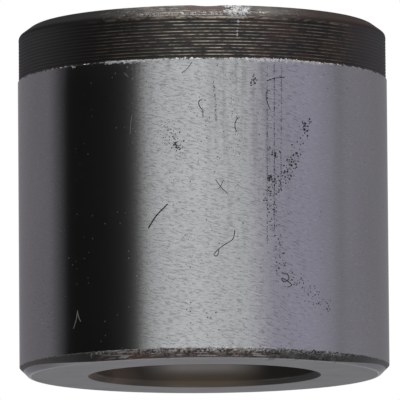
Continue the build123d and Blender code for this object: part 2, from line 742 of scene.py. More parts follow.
    def lip_strength(self, w: Shading, here: Here, fray: Socket) -> Socket:
        """How bright the raw metal along the band's border is, round the sleeve."""
        strong = w.largest(w.window(here.azimuth, -31.0, -14.0, 2.0), w.window(here.azimuth, 10.0, 41.0, 2.5))
        weak = w.product(w.window(here.azimuth, -15.0, 11.0, 2.0), w.rise(fray, -0.06, 0.02))
        return w.largest(strong, weak, 0.04)


@dataclass(frozen=True)
class FacedFinish:
    """The flat ends: faced steel with faint rings round the bore and a few stains."""

    sizes: SleeveSizes
    steel: Colour = grey(0.375, -0.01)
    stain: Colour = grey(0.34, 0.02)
    roughness: float = 0.34

    def build(self) -> bpy.types.Material:
        """Wires the material.

        Returns:
            The finished material.
        """
        material, w = new_material("faced_steel", self.steel)
        here = w.here()
        across, round_about = w.math("MULTIPLY", here.radius, 9.0), w.math("MULTIPLY", here.azimuth, 0.01)
        rings = w.noise(w.join(across, round_about, 0.0), detail=3.0)
        stains = w.noise(w.stretched(here, 0.5, 0.5, 3.0), detail=4.0, rough=0.6)
        colour = w.tint(w.rise(stains, 0.52, 0.75), self.steel, self.stain)
        colour = w.tint(w.math("MULTIPLY", w.rise(rings, 0.6, 0.8), 0.3), colour, grey(0.62))
        finish_surface(
            w,
            Base_Color=colour,
            Metallic=1.0,
            Roughness=w.blend(stains, self.roughness - 0.05, self.roughness + 0.1),
            Anisotropic=0.3,
            Tangent=w.round_tangent(),
            Normal=w.bump(rings, 0.0012),
        )
        return material


@dataclass(frozen=True)
class BoreFinish:
    """The bore: dark scale over turned marks, rusty near the foot, and paler grey on the far wall that faces
    the front, which is a painted reflection.
    """

    sizes: SleeveSizes
    scale: Colour = (0.046, 0.042, 0.038, 1.0)
    rust: Colour = (0.21, 0.155, 0.105, 1.0)
    # Paler grey: the painted reflection on the far wall, and the faint turned marks.
    rubbed_and_reflection: Colour = (0.58, 0.54, 0.51, 1.0)
    roughness: float = 0.42

    def build(self) -> bpy.types.Material:
        """Wires the material.

        Returns:
            The finished material.
        """
        material, w = new_material("bore_scale", self.scale)
        here = w.here()
        back = w.math("MULTIPLY", w.math("ARCTAN2", here.x, here.y), math.degrees(1.0))
        patches = w.noise(w.stretched(here, 0.45, 0.45, 7.0), detail=4.0, rough=0.6)
        marks = w.noise(w.stretched(here, 0.4, 6.0, 2.0), detail=3.0)
        low = w.rise(here.height, 1.1, 0.35)
        middle = w.window(back, -24.0, 24.0, 14.0)
        left = w.rise(back, -14.0, -60.0)
        # Painted reflection: the far wall that faces the front is paler grey above the foot, in patches.
        rubbed_and_reflection = w.product(middle, w.inverse(low), w.blend(patches, 0.7, 1.0))
        colour = w.tint(rubbed_and_reflection, self.scale, self.rubbed_and_reflection)
        colour = w.tint(w.product(middle, low, 0.8), colour, self.rust)
        colour = w.tint(w.product(left, w.rise(patches, 0.30, 0.65), 0.7), colour, self.rust)
        colour = w.tint(w.math("MULTIPLY", w.rise(marks, 0.58, 0.75), 0.15), colour, self.rubbed_and_reflection)
        finish_surface(
            w,
            Base_Color=colour,
            Metallic=0.0,
            Roughness=w.blend(patches, self.roughness, self.roughness + 0.15),
            Anisotropic=0.5,
            Tangent=w.round_tangent(),
            Normal=w.bump(marks, 0.006),
        )
        return material


@dataclass(frozen=True)
class GrainFinish:
    """What lies on the sleeve: raised metal flakes, dirt in the pits, fibres and scratches."""

    name: str
    colour: Colour
    dark: Colour
    metallic: float
    roughness: float

    def build(self) -> bpy.types.Material:
        """Wires the material.

        Returns:
            The finished material.
        """
        material, w = new_material(self.name, self.colour)
        here = w.here()
        change = w.noise(w.stretched(here, 6.0, 6.0, 1.0), detail=3.0, rough=0.7)
        fine = w.noise(w.stretched(here, 30.0, 30.0, 5.0), detail=2.0)
        finish_surface(
            w,
            Base_Color=w.tint(w.rise(change, 0.35, 0.65), self.dark, self.colour),
            Metallic=self.metallic,
            Roughness=w.blend(change, self.roughness, self.roughness + 0.15),
            Normal=w.bump(fine, 0.004),
        )
        return material


# ---------------------------------------------------------------------------
# Geometry trees
# ---------------------------------------------------------------------------


class GeometryTree(Wiring):
    """A geometry node tree with named inputs for its sizes."""

    SOCKETS = {float: "NodeSocketFloat", int: "NodeSocketInt", bpy.types.Material: "NodeSocketMaterial"}

    def __init__(self, name: str, inputs: dict[str, type]) -> None:
        """Makes the tree and its inputs.

        Args:
            name: The tree's name.
            inputs: The name and kind of each input after the geometry.
        """
        tree = bpy.data.node_groups.new(name, "GeometryNodeTree")
        super().__init__(tree)
        tree.interface.new_socket("Geometry", in_out="INPUT", socket_type="NodeSocketGeometry")
        for label, kind in inputs.items():
            tree.interface.new_socket(label, in_out="INPUT", socket_type=self.SOCKETS[kind])
        tree.interface.new_socket("Geometry", in_out="OUTPUT", socket_type="NodeSocketGeometry")
        self.start = self.node("NodeGroupInput")

    def given(self, label: str) -> Socket:
        """The socket of a named input."""
        return self.start.outputs[label]

    def index(self) -> Socket:
        """The element's own number."""
        return self.node("GeometryNodeInputIndex").outputs[0]

    def between(self, share: Socket, start: Socket, end: Socket) -> Socket:
        """The value that lies a share of the way from start to end."""
        return self.math("ADD", start, self.math("MULTIPLY", share, self.math("SUBTRACT", end, start)))

    def chance(self, low: Input, high: Input, seed: int) -> Socket:
        """A random number for each element.

        Args:
            low: Smallest value.
            high: Largest value.
            seed: Added to the tree's own seed, so that draws differ.

        Returns:
            The number's socket.
        """
        made = self.node("FunctionNodeRandomValue", data_type="FLOAT")
        self.feed(made.inputs[2], low)
        self.feed(made.inputs[3], high)
        self.feed(made.inputs["Seed"], self.math("ADD", self.given("Seed"), float(seed)))
        return made.outputs[1]

    def looked_up(self, kind: str, value: Socket, at: Input) -> Socket:
        """Reads a value of the tree's own starting geometry.

        Args:
            kind: The value's data type.
            value: The field that is read.
            at: The point's number.

        Returns:
            The value's socket.
        """
        made = self.node("GeometryNodeSampleIndex", data_type=kind, domain="POINT")
        self.feed(made.inputs["Geometry"], self.given("Geometry"))
        self.feed(made.inputs["Value"], value)
        self.feed(made.inputs["Index"], at)
        return made.outputs[0]

    def attribute(self, name: str, kind: str) -> Socket:
        """The socket of a named attribute."""
        made = self.node("GeometryNodeInputNamedAttribute", data_type=kind)
        made.inputs["Name"].default_value = name
        return made.outputs[0]

    def end(self, geometry: Socket, finish: Union[str, None] = "Finish") -> bpy.types.NodeTree:
        """Closes the tree with Realize Instances and Set Material.

        Args:
            geometry: What the tree made.
            finish: The input that holds the material, or None where it is set already.

        Returns:
            The finished tree.
        """
        realize = self.node("GeometryNodeRealizeInstances")
        self.feed(realize.inputs[0], geometry)
        last = realize.outputs[0]
        if finish:
            dress = self.node("GeometryNodeSetMaterial")
            self.feed(dress.inputs["Geometry"], last)
            self.feed(dress.inputs["Material"], self.given(finish))
            last = dress.outputs[0]
        output = self.node("NodeGroupOutput")
        self.feed(output.inputs[0], last)
        return self.tree


def grown(
    name: str, seedling: bpy.types.Object, tree: bpy.types.NodeTree, values: dict[str, Any]
) -> bpy.types.Object:
    """Runs a geometry tree on an object and keeps the result as a plain mesh.

    Args:
        name: The new piece's name.
        seedling: What the tree starts from. It is deleted.
        tree: The geometry tree.
        values: Values of the tree's named inputs.

    Returns:
        The new piece, with no modifier.
    """
    modifier = seedling.modifiers.new("Grow", "NODES")
    modifier.node_group = tree
    for item in tree.interface.items_tree:
        if item.item_type == "SOCKET" and item.in_out == "INPUT" and item.name in values:
            modifier[item.identifier] = values[item.name]
    bpy.context.view_layer.update()
    evaluated = seedling.evaluated_get(bpy.context.evaluated_depsgraph_get())
    mesh = bpy.data.meshes.new_from_object(evaluated)
    seedling.modifiers.remove(modifier)
    bpy.data.objects.remove(seedling)
    mesh.name = name
    piece = bpy.data.objects.new(name, mesh)
    bpy.context.scene.collection.objects.link(piece)
    return piece


def placed(name: str, data: bpy.types.ID) -> bpy.types.Object:
    """Links a new object that holds the given data."""
    made = bpy.data.objects.new(name, data)
    bpy.context.scene.collection.objects.link(made)
    return made


# ---------------------------------------------------------------------------
# The sleeve
# ---------------------------------------------------------------------------


class Zone(Enum):
    """Which finish a stretch of the section gets."""

    FACE = 0
    OUTSIDE = 1
    BORE = 2


@dataclass(frozen=True)
class SectionPoint:
    """A point of the half section, in millimetres."""

    radius: float
    height: float
    zone: Zone  # finish of the stretch that starts here
    step: float = 1.4  # longest piece that this stretch may be divided into
    fray: float = 0.0  # how far the ragged border may move this point


@dataclass(frozen=True)
class Corner:
    """A corner of the half section, with the radius that softens it."""

    radius: float
    height: float
    zone: Zone
    edge_radius: float = 0.0
    step: float = 1.4
    fray: float = 0.0


@dataclass(frozen=True)
class Bruise:
    """The shallow hollow that a knock has left across the crown's outer edge, in millimetres."""

    width: float = 2.6
    depth: float = 0.13
    azimuth: float = 2.0
    lean: float = 20.0

    def press(self, point: Vector, edge: tuple[float, float]) -> Vector:
        """Moves a point out of the tool that made the bruise.

        Args:
            point: A point of the surface, in millimetres.
            edge: Radius and height of the edge that was hit.

        Returns:
            Where the point ends up.
        """
        turn = Matrix.Rotation(math.radians(self.azimuth), 3, "Z")
        tilt = Matrix.Rotation(math.radians(self.lean), 3, "X")
        frame_axes = turn @ tilt
        corner = turn @ Vector((0.0, -edge[0], edge[1]))
        local = frame_axes.transposed() @ (point - corner)
        tool = (self.width**2 / 4 + self.depth**2) / (2 * self.depth)
        if abs(local.x) < self.width / 2 * 1.25 and local.z > -2 * self.depth:
            floor = tool - self.depth - math.sqrt(tool**2 - local.x**2)
            if local.z > floor:
                local.z = floor
        return corner + frame_axes @ local


@dataclass(frozen=True)
class Nick:
    """A small round hollow in the outer edge of the foot's face."""

    azimuth: float
    size: float

    def press(self, point: Vector, edge_radius: float) -> Vector:
        """Moves a point out of the ball that made the nick.

        Args:
            point: A point of the surface, in millimetres.
            edge_radius: Radius of the edge that was hit.

        Returns:
            Where the point ends up.
        """
        turn = math.radians(self.azimuth)
        centre = Vector((edge_radius * math.sin(turn), -edge_radius * math.cos(turn), 0.0))
        offset = point - centre
        if offset.length >= self.size:
            return point
        inward = Vector((-centre.x, -centre.y, edge_radius)).normalized()
        reach = offset.dot(inward)
        side = (offset - inward * reach).length
        return point + inward * (math.sqrt(max(self.size**2 - side**2, 0.0)) - reach)


@dataclass
class SleeveShell:
    """The sleeve itself: a lathe tree turns its section, and knocks are pressed into it."""

    sizes: SleeveSizes
    segments: int = 760
    front_density: float = 0.5  # 0 spreads the segments evenly, and near 1 they crowd at the front
    fray_height: float = 0.09
    fray_size: float = 0.16
    bruise: Bruise = field(default_factory=Bruise)
    nicks: tuple[Nick, ...] = (Nick(22.5, 0.19), Nick(31.5, 0.11))

    def corners(self) -> list[Corner]:
        """The section's corners, from the foot's bore mouth outwards and round.

        Returns:
            Corners in order, with the feed marks among them.
        """
        s = self.sizes
        crest_flat, root_flat = 0.16 * s.feed_pitch, 0.10 * s.feed_pitch
        marks: list[Corner] = []
        for turn in range(s.feed_count):
            start = s.feed_start + turn * s.feed_pitch
            middle = start + s.feed_pitch / 2
            root = s.band_radius - s.feed_depth
            marks += [
                Corner(s.band_radius, start + crest_flat / 2, Zone.OUTSIDE),
                Corner(root, middle - root_flat / 2, Zone.OUTSIDE),
                Corner(root, middle + root_flat / 2, Zone.OUTSIDE),
                Corner(s.band_radius, start + s.feed_pitch - crest_flat / 2, Zone.OUTSIDE),
            ]
        return [
            Corner(s.bore_mouth_radius, 0.0, Zone.FACE, 0.04, step=0.9),
            Corner(s.foot_face_radius, 0.0, Zone.OUTSIDE, s.foot_edge_radius, step=0.07),
            Corner(s.ground_radius, s.foot_chamfer, Zone.OUTSIDE, 0.04),
            Corner(s.ground_radius, s.ground_length, Zone.OUTSIDE, 0.015, fray=1.0),
            Corner(s.band_radius, s.feed_start, Zone.OUTSIDE, fray=0.6),
            *marks,
            Corner(s.band_radius, s.band_wall_top, Zone.OUTSIDE, s.crown_shoulder_radius, step=0.06),
            Corner(s.crown_face_radius, s.length, Zone.FACE, s.crown_edge_radius, step=0.9),
            Corner(s.bore_mouth_radius, s.length, Zone.BORE, 0.04),
            Corner(s.bore_radius, s.length - s.bore_lead_in, Zone.BORE, 0.05),
            Corner(s.bore_radius, s.bore_lead_in, Zone.BORE, 0.05),
        ]

    def section(self) -> list[SectionPoint]:
        """The half section with its edges softened and its long stretches divided.

        Returns:
            The points in order. The last joins the first.
        """
        corners = self.corners()
        points: list[SectionPoint] = []
        for at, corner in enumerate(corners):
            points += self.softened(corners[at - 1], corner, corners[(at + 1) % len(corners)])
        return self.divided(points)

    @staticmethod
    def softened(last: Corner, corner: Corner, following: Corner) -> list[SectionPoint]:
        """Rounds one corner.

        Args:
            last: The corner before it.
            corner: The corner.
            following: The corner after it.

        Returns:
            One point, or the points of a small arc.
        """
        if corner.edge_radius == 0.0:
            return [SectionPoint(corner.radius, corner.height, corner.zone, corner.step, corner.fray)]
        here = Vector((corner.radius, corner.height))
        back = (Vector((last.radius, last.height)) - here).normalized()
        ahead = (Vector((following.radius, following.height)) - here).normalized()
        half = back.angle(ahead) / 2
        reach = corner.edge_radius / math.tan(half)
        middle = here + (back + ahead).normalized() * corner.edge_radius / math.sin(half)
        start, stop = here + back * reach - middle, here + ahead * reach - middle
        steps = 3 + int(corner.edge_radius * 10)
        rolled = Zone.OUTSIDE if Zone.OUTSIDE in (last.zone, corner.zone) else corner.zone
        points = []
        for step in range(steps + 1):
            spot = middle + start.slerp(stop, step / steps) * corner.edge_radius
            zone = corner.zone if step == steps else rolled
            points.append(SectionPoint(spot.x, spot.y, zone, corner.step, corner.fray))
        return points

    @staticmethod
    def divided(points: list[SectionPoint]) -> list[SectionPoint]:
        """Divides the stretches that are longer than their step.

        Args:
            points: The section.

        Returns:
            The section with points added on its long stretches.
        """
        result: list[SectionPoint] = []
        for at, point in enumerate(points):
            result.append(point)
            here = Vector((point.radius, point.height))
            after = Vector((points[(at + 1) % len(points)].radius, points[(at + 1) % len(points)].height))
            steps = math.ceil((after - here).length / point.step)
            for step in range(1, steps):
                spot = here.lerp(after, step / steps)
                result.append(SectionPoint(spot.x, spot.y, point.zone, point.step))
        return result

    def lathe_tree(self) -> bpy.types.NodeTree:
        """The tree that turns a section about the bore's axis.

        Returns:
            The geometry tree.
        """
        t = GeometryTree(
            "sleeve_lathe",
            {
                "Rows": int,
                "Segments": int,
                "Front Density": float,
                "Fray Height": float,
                "Fray Size": float,
                "Seed": int,
                "Face Finish": bpy.types.Material,
                "Outside Finish": bpy.types.Material,
                "Bore Finish": bpy.types.Material,
            },
        )
        rows, segments = t.given("Rows"), t.given("Segments")
        stride = t.math("ADD", rows, 1.0)
        grid = t.node("GeometryNodeMeshGrid")
        t.feed(grid.inputs["Vertices X"], t.math("ADD", segments, 1.0))
        t.feed(grid.inputs["Vertices Y"], stride)

        column = t.math("FLOOR", t.math("DIVIDE", t.math("ADD", t.index(), 0.5), stride))
        row = t.math("SUBTRACT", t.index(), t.math("MULTIPLY", column, stride))
        row = t.math("MODULO", t.math("ROUND", row), rows)
        even = t.math("MULTIPLY", t.math("DIVIDE", column, segments), math.tau)
        even = t.math("SUBTRACT", even, math.pi)
        crowd = t.math("MULTIPLY", t.given("Front Density"), t.math("SINE", even))
        angle = t.math("SUBTRACT", even, crowd)

        spot = t.looked_up("FLOAT_VECTOR", t.node("GeometryNodeInputPosition").outputs[0], row)
        fray = t.looked_up("FLOAT", t.attribute("fray", "FLOAT"), row)
        radius, _, height = t.split(spot)
        x = t.math("MULTIPLY", radius, t.math("SINE", angle))
        y = t.math("MULTIPLY", radius, t.math("MULTIPLY", t.math("COSINE", angle), -1.0))
        flat = t.join(x, y, t.math("MULTIPLY", t.given("Seed"), MM))
        zoomed = t.node("ShaderNodeVectorMath", operation="SCALE")
        t.feed(zoomed.inputs[0], flat)
        t.feed(zoomed.inputs["Scale"], t.math("DIVIDE", 1.0, t.given("Fray Size")))
        ragged = t.math("SUBTRACT", t.noise(zoomed.outputs[0], detail=3.0, rough=0.7), 0.5)
        ragged = t.math("MULTIPLY", t.math("MULTIPLY", ragged, fray), t.given("Fray Height"))
        move = t.node("GeometryNodeSetPosition")
        t.feed(move.inputs["Geometry"], grid.outputs["Mesh"])
        t.feed(move.inputs["Position"], t.join(x, y, t.math("ADD", height, ragged)))

        zone = t.looked_up("INT", t.attribute("zone", "INT"), t.math("MODULO", t.index(), rows))
        store = t.node("GeometryNodeStoreNamedAttribute", data_type="INT", domain="FACE")
        t.feed(store.inputs["Geometry"], move.outputs[0])
        store.inputs["Name"].default_value = "zone"
        t.feed(store.inputs["Value"], zone)
        weld = t.node("GeometryNodeMergeByDistance")
        t.feed(weld.inputs["Geometry"], store.outputs[0])
        weld.inputs["Distance"].default_value = 1e-7
        smooth = t.node("GeometryNodeSetShadeSmooth")
        t.feed(smooth.inputs["Geometry"], weld.outputs[0])
        last = smooth.outputs[0]
        finishes = {"Face Finish": Zone.FACE, "Outside Finish": Zone.OUTSIDE, "Bore Finish": Zone.BORE}
        for label, kind in finishes.items():
            same = t.node("FunctionNodeCompare", data_type="INT", operation="EQUAL")
            t.feed(same.inputs[2], t.attribute("zone", "INT"))
            same.inputs[3].default_value = kind.value
            dress = t.node("GeometryNodeSetMaterial")
            t.feed(dress.inputs["Geometry"], last)
            t.feed(dress.inputs["Selection"], same.outputs[0])
            t.feed(dress.inputs["Material"], t.given(label))
            last = dress.outputs[0]
        return t.end(last, finish=None)

    def build(
        self, face: bpy.types.Material, outside: bpy.types.Material, bore: bpy.types.Material
    ) -> bpy.types.Object:
        """Turns the sleeve and presses its knocks into it.

        Args:
            face: Finish of the flat ends.
            outside: Finish of the outside and the chamfers.
            bore: Finish of the bore.

        Returns:
            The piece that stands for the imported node.
        """
        points = self.section()
        mesh = bpy.data.meshes.new("section")
        places = [(p.radius * MM, 0.0, p.height * MM) for p in points]
        mesh.from_pydata(places, [], [])
        zones = [point.zone.value for point in points]
        mesh.attributes.new("zone", "INT", "POINT").data.foreach_set("value", zones)
        frays = [point.fray for point in points]
        mesh.attributes.new("fray", "FLOAT", "POINT").data.foreach_set("value", frays)
        piece = grown(
            "sleeve_shell",
            placed("section", mesh),
            self.lathe_tree(),
            {
                "Rows": len(points),
                "Segments": self.segments,
                "Front Density": self.front_density,
                "Fray Height": self.fray_height * MM,
                "Fray Size": self.fray_size * MM,
                "Seed": 5,
                "Face Finish": face,
                "Outside Finish": outside,
                "Bore Finish": bore,
            },
        )
        self.knock(piece.data)
        shape = bmesh.new()
        shape.from_mesh(piece.data)
        bmesh.ops.recalc_face_normals(shape, faces=shape.faces)
        shape.to_mesh(piece.data)
        shape.free()
        LOG.info("sleeve_shell: %d rows, %d faces", len(points), len(piece.data.polygons))
        return piece

    def knock(self, mesh: bpy.types.Mesh) -> None:
        """Presses the bruise and the nicks into the mesh.

        Args:
            mesh: The turned mesh, in metres.
        """
        s = self.sizes
        for vertex in mesh.vertices:
            point = vertex.co * PER_METRE
            if point.y > 0 or s.foot_chamfer < point.z < s.band_wall_top - s.crown_drop:
                continue
            point = self.bruise.press(point, (s.crown_face_radius, s.length))
            for nick in self.nicks:
                point = nick.press(point, s.foot_face_radius)
            vertex.co = point * MM


# ---------------------------------------------------------------------------
# Burrs, specks and fibres
# ---------------------------------------------------------------------------


def on_outside(azimuth: float, height: float, radius: float) -> Vector:
    """A place on the outside.

    Args:
        azimuth: Degrees round from the front towards +X.
        height: Height in millimetres.
        radius: Radius in millimetres.

    Returns:
        The place in metres.
    """
    turn = math.radians(azimuth)
    return Vector((radius * math.sin(turn), -radius * math.cos(turn), height)) * MM


def scatter_tree() -> bpy.types.NodeTree:
    """The tree that scatters grains on a belt and settles them on the nearest surface.

    Returns:
        The geometry tree. It starts from the surface that the grains lie on.
    """
    t = GeometryTree(
        "grain_scatter",
        {
            "Count": int,
            "Start Azimuth": float,
            "End Azimuth": float,
            "Start Height": float,
            "End Height": float,
            "Radius": float,
            "Spread": float,
            "Grain Size": float,
            "Flatness": float,
            "Seed": int,
            "Finish": bpy.types.Material,
        },
    )
    share = t.chance(0.0, 1.0, 1)
    turn = t.between(share, t.given("Start Azimuth"), t.given("End Azimuth"))
    stray = t.math("MULTIPLY", t.chance(-1.0, 1.0, 2), t.given("Spread"))
    turn = t.math("ADD", turn, t.math("DIVIDE", stray, t.given("Radius")))
    height = t.between(share, t.given("Start Height"), t.given("End Height"))
    height = t.math("ADD", height, t.math("MULTIPLY", t.chance(-1.0, 1.0, 3), t.given("Spread")))
    x = t.math("MULTIPLY", t.math("SINE", turn), t.given("Radius"))
    y = t.math("MULTIPLY", t.math("COSINE", turn), t.math("MULTIPLY", t.given("Radius"), -1.0))
    points = t.node("GeometryNodePoints")
    t.feed(points.inputs["Count"], t.given("Count"))
    t.feed(points.inputs["Position"], t.join(x, y, height))

    nearest = t.node("GeometryNodeProximity", target_element="FACES")
    t.feed(nearest.inputs["Geometry"], t.given("Geometry"))
    settle = t.node("GeometryNodeSetPosition")
    t.feed(settle.inputs["Geometry"], points.outputs[0])
    t.feed(settle.inputs["Position"], nearest.outputs["Position"])
    facing = t.node("GeometryNodeSampleNearestSurface", data_type="FLOAT_VECTOR")
    t.feed(facing.inputs["Mesh"], t.given("Geometry"))
    t.feed(facing.inputs["Value"], t.node("GeometryNodeInputNormal").outputs[0])
    roll = t.node("FunctionNodeEulerToRotation")
    t.feed(roll.inputs[0], t.join(0.0, 0.0, t.chance(0.0, math.tau, 4)))
    align = t.node("FunctionNodeAlignRotationToVector", axis="Z")
    t.feed(align.inputs["Rotation"], roll.outputs[0])
    t.feed(align.inputs["Vector"], facing.outputs["Value"])

    grain = t.node("GeometryNodeMeshIcoSphere")
    grain.inputs["Radius"].default_value = 1.0
    grain.inputs["Subdivisions"].default_value = 1
    size = t.math("MULTIPLY", t.given("Grain Size"), t.chance(0.35, 1.0, 5))
    width = t.math("MULTIPLY", size, t.chance(0.5, 1.0, 6))
    scatter = t.node("GeometryNodeInstanceOnPoints")
    t.feed(scatter.inputs["Points"], settle.outputs[0])
    t.feed(scatter.inputs["Instance"], grain.outputs["Mesh"])
    t.feed(scatter.inputs["Rotation"], align.outputs[0])
    t.feed(scatter.inputs["Scale"], t.join(size, width, t.math("MULTIPLY", size, t.given("Flatness"))))
    return t.end(scatter.outputs[0])


@dataclass(frozen=True)
class GrainBelt:
    """A belt of small grains between two places on the outside."""

    name: str
    count: int
    start: tuple[float, float]  # azimuth in degrees and height in millimetres
    end: tuple[float, float]
    spread: float
    size: float
    seed: int
    flatness: float = 0.5
    radius: float = WRAP_RADIUS

    def build(
        self, surface: bpy.types.Object, tree: bpy.types.NodeTree, finish: bpy.types.Material
    ) -> bpy.types.Object:
        """Scatters the grains.

        Args:
            surface: The shell that they lie on.
            tree: The scatter tree.
            finish: Their material.

        Returns:
            The piece.
        """
        piece = grown(
            self.name,
            placed("belt", surface.data),
            tree,
            {
                "Count": self.count,
                "Start Azimuth": math.radians(self.start[0]),
                "End Azimuth": math.radians(self.end[0]),
                "Start Height": self.start[1] * MM,
                "End Height": self.end[1] * MM,
                "Radius": self.radius * MM,
                "Spread": self.spread * MM,
                "Grain Size": self.size * MM,
                "Flatness": self.flatness,
                "Seed": self.seed,
                "Finish": finish,
            },
        )
        LOG.info("%s: %d grains", self.name, self.count)
        return piece


class Belts:
    """Grain belts that share one finish."""

    BELTS: tuple[GrainBelt, ...] = ()

    def build(
        self, surface: bpy.types.Object, tree: bpy.types.NodeTree, finish: bpy.types.Material
    ) -> list[bpy.types.Object]:
        """Scatters every belt.

        Args:
            surface: The shell that the grains lie on.
            tree: The scatter tree.
            finish: Their material.

        Returns:
            One piece for each belt.
        """
        return [belt.build(surface, tree, finish) for belt in self.BELTS]


class Burrs(Belts):
    """Raised bright metal: the ragged lip at the band's border, and the torn spot on the crown."""

    BELTS = (
        GrainBelt("border_burr_left", 190, (-31.5, 16.04), (-15.0, 16.00), 0.045, 0.040, 11),
        GrainBelt("border_burr_front", 90, (-15.0, 16.00), (1.0, 16.01), 0.02, 0.022, 12),
        GrainBelt("border_burr_teeth", 60, (1.0, 16.01), (10.0, 16.02), 0.04, 0.030, 13),
        GrainBelt("border_burr_right", 330, (10.0, 16.02), (39.5, 16.00), 0.055, 0.046, 14),
        GrainBelt("border_burr_nodes", 70, (17.5, 16.05), (31.0, 16.03), 0.07, 0.065, 15, flatness=0.8),
        GrainBelt("border_burr_far", 60, (39.5, 16.00), (64.0, 15.99), 0.03, 0.028, 16),
        GrainBelt("border_burr_dash", 12, (-44.4, 15.93), (-42.4, 15.92), 0.02, 0.045, 17),
        GrainBelt("crown_burr_flakes", 120, (7.0, 18.55), (15.4, 18.60), 0.17, 0.050, 21, flatness=0.7),
        GrainBelt("crown_burr_strands", 46, (8.2, 18.30), (12.9, 18.24), 0.08, 0.040, 22, flatness=0.7),
        GrainBelt("crown_burr_trail", 24, (11.2, 18.12), (10.8, 17.20), 0.045, 0.052, 23),
        GrainBelt("crown_slashes", 60, (16.0, 18.78), (20.5, 18.70), 0.10, 0.030, 24),
        GrainBelt("crown_left_chips", 220, (-20.0, 18.50), (-6.5, 18.60), 0.16, 0.026, 25),
        GrainBelt("crown_bruise_lip", 60, (-6.6, 18.70), (-5.6, 18.42), 0.05, 0.036, 26),
        GrainBelt("crown_bruise_base", 110, (-6.0, 18.40), (6.5, 18.40), 0.035, 0.030, 27),
        GrainBelt("crown_bruise_specks", 130, (-5.0, 18.60), (6.0, 18.60), 0.16, 0.030, 28),
        GrainBelt("foot_front_flecks", 420, (-8.0, 0.47), (16.5, 0.47), 0.05, 0.036, 31),
        GrainBelt("foot_left_flecks", 50, (-24.0, 0.40), (-8.0, 0.44), 0.07, 0.024, 32),
        GrainBelt("foot_right_flecks", 220, (20.0, 0.34), (48.0, 0.36), 0.14, 0.03, 33),
        GrainBelt("foot_left_chips", 16, (-37.5, 0.36), (-30.5, 0.40), 0.05, 0.040, 34),
    )


class Dirt(Belts):
    """Dark specks: pits and dirt on the land, streaks below the border, and grime on the foot."""

    BELTS = (
        GrainBelt("streak_left", 240, (20.3, 15.70), (19.8, 6.0), 0.018, 0.034, 41, flatness=0.12),
        GrainBelt("streak_middle", 330, (22.6, 15.75), (22.2, 6.5), 0.020, 0.036, 42, flatness=0.12),
        GrainBelt("streak_right", 220, (25.0, 15.70), (24.5, 9.0), 0.016, 0.032, 43, flatness=0.12),
        GrainBelt("streak_front", 90, (3.4, 14.85), (4.2, 12.6), 0.05, 0.03, 44, flatness=0.12),
        GrainBelt("streak_soft", 150, (9.5, 15.6), (10.5, 11.0), 0.22, 0.03, 45, flatness=0.12),
        GrainBelt("pits_upper", 60, (34.5, 13.1), (27.0, 9.9), 0.3, 0.08, 46, flatness=0.15),
        GrainBelt("pits_middle", 110, (29.0, 10.6), (20.3, 8.6), 0.34, 0.066, 47, flatness=0.15),
        GrainBelt("pits_knot", 14, (20.6, 9.75), (21.2, 9.55), 0.10, 0.085, 48, flatness=0.15),
        GrainBelt("pits_lower", 70, (20.8, 8.4), (24.6, 4.6), 0.32, 0.062, 49, flatness=0.15),
        GrainBelt("pits_right", 80, (27.5, 4.35), (41.0, 2.9), 0.45, 0.056, 50, flatness=0.15),
        GrainBelt("pits_knock", 18, (20.6, 11.1), (23.4, 10.9), 0.22, 0.08, 51, flatness=0.15),
        GrainBelt("pits_left", 80, (-11.0, 12.3), (-6.0, 11.0), 0.40, 0.048, 52, flatness=0.15),
        GrainBelt("pits_left_knot", 14, (-8.6, 11.4), (-7.3, 11.2), 0.10, 0.07, 53, flatness=0.15),
        GrainBelt("pits_top", 24, (16.4, 15.1), (15.6, 14.6), 0.14, 0.065, 54, flatness=0.15),
        GrainBelt("pits_spread", 620, (-19.0, 15.2), (16.0, 9.0), 3.2, 0.03, 55, flatness=0.12),
        GrainBelt("pits_low_spread", 300, (-17.0, 6.0), (14.0, 3.4), 2.6, 0.028, 56, flatness=0.12),
        GrainBelt("dirt_left", 150, (-19.0, 13.0), (-11.0, 9.6), 1.1, 0.026, 57, flatness=0.12),
        GrainBelt("dirt_side", 90, (-62.0, 4.5), (-52.0, 1.6), 0.9, 0.032, 58, flatness=0.12),
        GrainBelt("foot_nick_grime", 26, (21.0, 0.03), (24.3, 0.03), 0.03, 0.055, 59),
        GrainBelt("foot_grime", 90, (18.0, 0.30), (50.0, 0.30), 0.16, 0.026, 60),
    )


class Strand(Enum):
    """Whether a line on the land is a dark fibre or a light scratch."""

    DARK = "dark_fibre"
    LIGHT = "light_scratch"


@dataclass(frozen=True)
class Fibre:
    """A fine fibre or scratch, through points of azimuth in degrees and height in millimetres."""

    name: str
    strand: Strand
    thickness: float
    route: tuple[tuple[float, float], ...]


